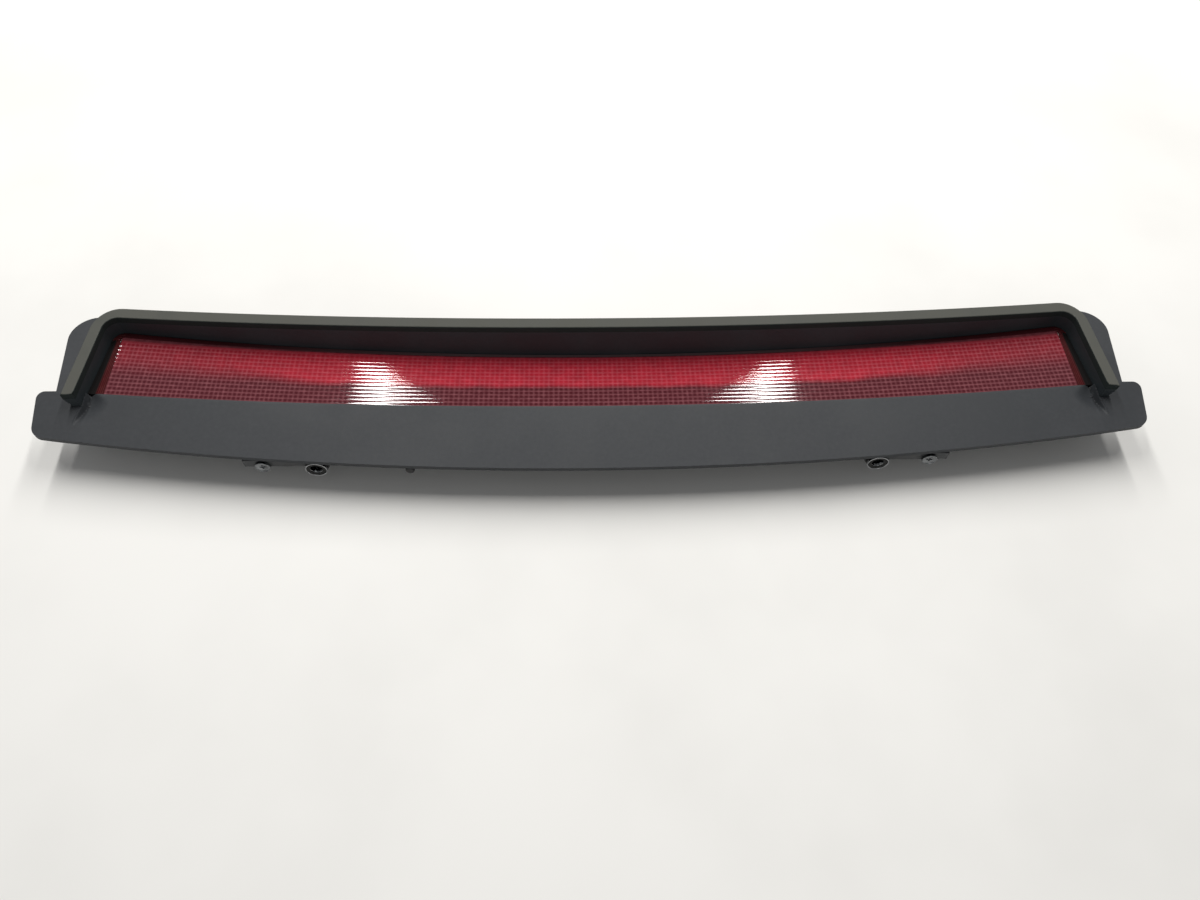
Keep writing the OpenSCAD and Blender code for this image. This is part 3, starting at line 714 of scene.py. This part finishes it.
def make_lens():
    verts, cells, faces = [], [], []

    def add(x, y, z, cell):
        verts.append((x, y, z))
        cells.append(cell)
        return len(verts) - 1

    side = half_outline(-LENS_GAP)[1]
    flute = END_FLUTES / (1 - END_SHADED)

    def end_zone(hand, k, v):
        """One row of an end, from the lens's side to where the cells begin."""
        edge_y = grid_near(GRID_HALF) + (grid_far(GRID_HALF) - grid_near(GRID_HALF)) * v
        zone = []
        for i in range(END_STEPS):
            t = i / END_STEPS
            x = side[k][0] + (GRID_HALF - side[k][0]) * t
            y = side[k][1] + (edge_y - side[k][1]) * t
            low = scallop(t * flute, FLUTE_BULGE) if t > END_SHADED else 0.0
            zone.append(add(hand * x, y, LENS_Z + low, (0.0, 0.0, -1.0, t)))
        return zone

    def cell_row(v):
        z = LENS_Z + scallop(v * ROWS, ROW_BULGE)
        out = []
        for x in GRID_XS:
            y = grid_near(x) + (grid_far(x) - grid_near(x)) * v
            out.append(add(x, y, z, (cell_across(x) + CELL_OFFSET, v * ROWS, v, 1.0)))
        return out

    def field_row(k):
        v = k / SIDE_ROWS
        left, middle, right = end_zone(-1, k, v), cell_row(v), end_zone(1, k, v)
        return left + middle + right[::-1]

    field = [field_row(k) for k in range(SIDE_ROWS + 1)]
    for r0, r1 in zip(field, field[1:]):
        for i in range(len(r0) - 1):
            faces.append((r0[i], r0[i + 1], r1[i + 1], r1[i]))

    def far_rise(x, y):
        """The smooth band along the wall rises a little towards it."""
        share = smooth(y, grid_far(x) + 0.2, WALL_CY - sqrt(WALL_R ** 2 - x * x) - LENS_GAP)
        return LENS_Z + 0.5 * share

    def place(loop, z_of, ends):
        return [add(x, y, z_of(x, y), (0.0, 0.0, -1.0, ends)) for x, y in loop]

    def bridge(a, c):
        for i in range(len(a)):
            j = (i + 1) % len(a)
            faces.append((a[i], a[j], c[j], c[i]))

    top_edge = outline_loop(-LENS_GAP)
    rim = place(top_edge, far_rise, 1.0)
    # the outline beside the arms takes the painted shade of the ends; elsewhere it takes the strip's
    # colour
    for i, (x, y) in enumerate(top_edge):
        cells[rim[i]] = (0.0, 0.0, -1.0, 0.0 if abs(x) > GRID_HALF and y < 34 else 1.0)
    # the field's border in the same order as the outline: from the near middle round to the right
    mid = len(field[0]) // 2
    right, left = [r[-1] for r in field], [r[0] for r in field]
    border = field[0][mid:-1] + right[:-1] + field[-1][::-1][:-1] + left[::-1][:-1] + field[0][:mid]
    bridge(border, rim)
    rings = [rim]
    flange_low, inside = FLANGE_TOP - LENS_FLANGE_T, -LENS_GAP - LENS_T
    for g, z in ((-LENS_GAP, FLANGE_TOP), (LENS_FLANGE, FLANGE_TOP), (LENS_FLANGE, flange_low),
                 (inside, flange_low), (inside, LENS_Z - LENS_T)):
        rings.append(place(outline_loop(g), level(z), 0.0))
        bridge(rings[-2], rings[-1])
    # flat underside: strips between matching near and far points
    last, n = rings[-1], len(rings[-1])
    half = len(half_outline(0)[0]) - 1
    near_right = [last[i] for i in range(half + 1)]
    far_right = [last[half + SIDE_ROWS + half - i] for i in range(half + 1)]
    near_left = [last[-i % n] for i in range(half + 1)]
    far_left = [last[-(half + SIDE_ROWS + half - i) % n] for i in range(half + 1)]
    for near, far in ((near_right, far_right), (near_left, far_left)):
        for i in range(half):
            faces.append((near[i], near[i + 1], far[i + 1], far[i]))
    faces.append([last[half + i] for i in range(SIDE_ROWS + 1)])
    faces.append([last[-(half + i) % n] for i in range(SIDE_ROWS + 1)])
    lens = new_object("lens_moulding", verts, faces, MATERIALS["lens_red"], "lens_red", cells)
    shade(lens, 35)
    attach(lens, BODY)
    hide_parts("lens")
    make_lens_ribs()


def make_lens_ribs():
    """Upright flutes on the lens's underside."""
    n = int(cell_across(GRID_HALF)) * COLUMN_STEPS
    xs = [x_of_cell(i / COLUMN_STEPS) for i in range(-n, n + 1)]
    z_top = LENS_Z - LENS_T + 0.15
    rings = []
    for x in xs:
        near, far = grid_near(x) + LENS_T, grid_far(x)
        z = z_top - 0.25 + scallop(cell_across(x) + CELL_OFFSET, -COLUMN_BULGE)
        z_low = z - 2 * COLUMN_BULGE
        corners = [(x, near, z_top), (x, far, z_top), (x, far, z_low), (x, near, z_low)]
        rings.append(corners + corners[:1])
    verts, faces = loft(rings, False)
    last = (len(rings) - 1) * 5
    faces += [(0, 1, 2, 3), (last, last + 1, last + 2, last + 3)]
    cells = [(0.0, 0.0, -1.0, 1.0)] * len(verts)
    ribs = new_object("lens_ribs", verts, faces, MATERIALS["lens_red"], "lens_red", cells)
    weld(ribs)
    shade(ribs, 35)
    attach(ribs, BODY)
    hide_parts("lens")


# ---------- pieces taken over from the CAD model ----------

def soften(node, width, segments=2):
    """A copy of a CAD node with rounded edges and its own finish, which stands for the node."""
    source = frame["nodes"][node]
    slot = SLOT_OF[node]
    mesh = source.data.copy()
    mesh.name = node + "_finished"
    b = bmesh.new()
    b.from_mesh(mesh)
    bmesh.ops.remove_doubles(b, verts=b.verts, dist=0.001 * MM)
    bmesh.ops.dissolve_limit(b, angle_limit=radians(0.5), verts=b.verts, edges=b.edges)
    b.to_mesh(mesh)
    b.free()
    piece = dress(node + "_finished", mesh, MATERIALS[slot], slot)
    round_edges(piece, width, segments)
    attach(piece, BODY_OF[node])
    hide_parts(node)


SLOT_OF = {s["node"]: s["material_slot"] for s in frame["record"]["subparts"]}
BODIES = frame["record"]["behaviour"]["bodies"]
BODY_OF = {node: body for body, nodes in BODIES.items() for node in nodes}
ROUNDED = {
    "housing": 0.35, "connector_socket": 0.25, "bracket_left": 0.5, "bracket_right": 0.5,
    "wire_clip": 0.4, "mount_grommets": 0.5, "mount_sleeves": 0.15, "bracket_screws": 0.25,
    "cover_screws": 0.25, "reflector_screws": 0.25, "connector_pins": 0.15, "busbar_live": 0.12,
    "busbar_earth": 0.12,
}
BUSH_X, BUSH_FRONT_Y, BUSH_Z = 147.5, -43.3, 15.3
BUSH_FACE = [(3.3, 0.0), (3.3, 0.3), (3.6, 0.5), (4.7, 0.5), (5.0, 0.3), (5.0, 0.0)]
CLIP_X, CLIP_BACK_Y, CLIP_Z = -99, -36.4, 14.8
CLIP_CONE = [
    (0.0, 0.0), (3.6, 0.0), (4.2, 0.4), (4.2, 1.0), (2.9, 5.0), (2.2, 8.4), (1.8, 8.7), (0.0, 8.7),
]
TURNED_SIDES = 48


def turned(name, centre, profile, node):
    """Piece turned about Y. profile holds radius and height towards the front.

    It is a ring, or a solid if it starts on the axis."""
    cx, cy, cz = centre
    turns = [2 * pi * i / TURNED_SIDES for i in range(TURNED_SIDES + 1)]
    rings = [[(cx + r * cos(a), cy - out, cz + r * sin(a)) for a in turns] for r, out in profile]
    verts, faces = loft(rings, profile[0][0] > 0)
    piece = new_object(name, verts, faces, MATERIALS[SLOT_OF[node]], SLOT_OF[node])
    weld(piece)
    shade(piece)
    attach(piece, BODY)
    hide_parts(node)


def make_turned_faces():
    """Rubber faces in the dished flanges of the bushes, and the cone of the wire clip."""
    for side, hand in ((-1, "left"), (1, "right")):
        centre = (side * BUSH_X, BUSH_FRONT_Y, BUSH_Z)
        turned(f"bush_face_{hand}", centre, BUSH_FACE, "mount_grommets")
    turned("clip_cone", (CLIP_X, CLIP_BACK_Y, CLIP_Z), CLIP_CONE, "wire_clip")


def finish_cad_pieces():
    for node, width in ROUNDED.items():
        soften(node, width)
    make_turned_faces()
    for i in range(1, BULBS + 1):
        soften(f"bulb_holder_{i}", 0.3)
        soften(f"bulb_contacts_{i}", 0.1, 1)
    for node in ("reflector", *(f"bulb_{i}" for i in range(1, BULBS + 1))):
        obj = frame["nodes"][node]
        obj.data.materials.clear()
        obj.data.materials.append(MATERIALS[SLOT_OF[node]])


# ---------- stage ----------

def make_floor():
    t = Tree("floor")
    wear = t.ramp(t.noise(180, 4), 0.35, 0.75)
    t.done(Base_Color=t.mix(wear, (0.80, 0.795, 0.775), (0.74, 0.735, 0.715)), Roughness=0.6)
    half = 4.0
    corners = [(-half, -half, 0), (half, -half, 0), (half, half, 0), (-half, half, 0)]
    mesh = bpy.data.meshes.new("floor")
    mesh.from_pydata(corners, [], [(0, 1, 2, 3)])
    mesh.materials.append(t.material)
    floor = bpy.data.objects.new("floor", mesh)
    bpy.context.collection.objects.link(floor)


def make_lights():
    world = bpy.data.worlds.new("studio")
    world.use_nodes = True
    sky = world.node_tree.nodes["Background"]
    sky.inputs["Color"].default_value = (0.98, 0.99, 1.0, 1)
    sky.inputs["Strength"].default_value = 0.20
    bpy.context.scene.world = world
    for side, hand in ((-1, "left"), (1, "right")):
        lamp = bpy.data.lights.new(f"strip_{hand}", "AREA")
        lamp.shape = "RECTANGLE"
        lamp.size, lamp.size_y = 0.07, 2.3
        lamp.energy = 30
        lamp.color = (1.0, 0.985, 0.96)
        obj = bpy.data.objects.new(lamp.name, lamp)
        obj.location = (-0.012 + side * 0.49, 1.25, 1.53)
        bpy.context.collection.objects.link(obj)
    fill = bpy.data.lights.new("front_fill", "AREA")
    fill.shape = "DISK"
    fill.size = 1.3
    fill.energy = 4.5
    obj = bpy.data.objects.new(fill.name, fill)
    obj.location = (0.0, -1.9, 1.1)
    obj.rotation_euler = (radians(60), 0, 0)
    bpy.context.collection.objects.link(obj)


def make_camera():
    data = bpy.data.cameras.new("camera")
    data.sensor_width = 36
    data.sensor_fit = "HORIZONTAL"
    data.lens = 27.03
    data.clip_start, data.clip_end = 0.01, 20
    cam = bpy.data.objects.new("camera", data)
    bpy.context.collection.objects.link(cam)
    cam.location = Vector((-13.3, -293.9, 416.8)) * MM
    target = Vector((0.0, -41.7, 28.0)) * MM
    roll = radians(1.9)
    cam.rotation_mode = "QUATERNION"
    aim = (target - cam.location).to_track_quat("-Z", "Y")
    cam.rotation_quaternion = aim @ Quaternion((0, 0, 1), roll)
    bpy.context.scene.camera = cam


bpy.context.scene.view_settings.view_transform = "Standard"
make_camera()
make_floor()
make_lights()
make_shield()
make_seal()
make_cover()
make_lens()
finish_cad_pieces()
